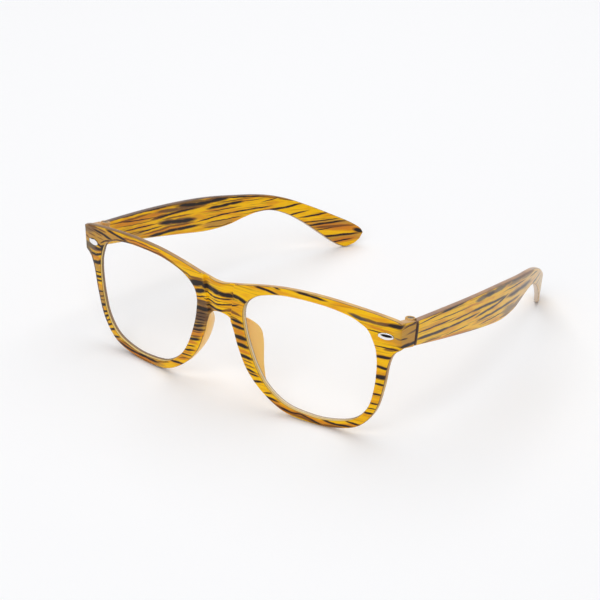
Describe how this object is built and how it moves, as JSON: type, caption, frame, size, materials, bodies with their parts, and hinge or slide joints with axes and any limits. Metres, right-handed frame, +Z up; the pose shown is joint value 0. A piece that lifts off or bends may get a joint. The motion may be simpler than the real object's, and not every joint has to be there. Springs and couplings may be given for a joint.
{
  "type": "eyeglasses",
  "caption": "Full-rim trapezoid eyeglasses in striped amber plastic with clear lenses, oval metal corner shields, moulded nose pads and temples that fold on screwed hinges.",
  "frame": {"origin": "on the table, under the middle of the object's box", "axes": "+X to the wearer's left, +Y from the front to the tips of the temples, +Z up"},
  "size_m": [0.1488, 0.1566, 0.0515],
  "materials": {
    "striped_plastic": "satin, amber with dark brown printed stripes",
    "lens": "clear, polished",
    "dark_steel": "dark, satin",
    "bright_metal": "polished"
  },
  "bodies": {
    "front": {"front_frame": "striped_plastic", "lens_left": "lens", "lens_right": "lens", "hinge_screw_left": "dark_steel", "hinge_screw_right": "dark_steel", "shield_left": "bright_metal", "shield_right": "bright_metal"},
    "left_temple": {"temple_left": "striped_plastic"},
    "right_temple": {"temple_right": "striped_plastic"}
  },
  "joints": [
    {"name": "left_hinge", "type": "hinge", "parent": "front", "child": "left_temple", "pos_m": [0.0705, -0.0618, 0.04092], "axis": [0, 0.1387, 0.9903], "range_deg": [0, 82]},
    {"name": "right_hinge", "type": "hinge", "parent": "front", "child": "right_temple", "pos_m": [-0.0705, -0.0618, 0.04092], "axis": [0, -0.1387, -0.9903], "range_deg": [0, 67]}
  ]
}
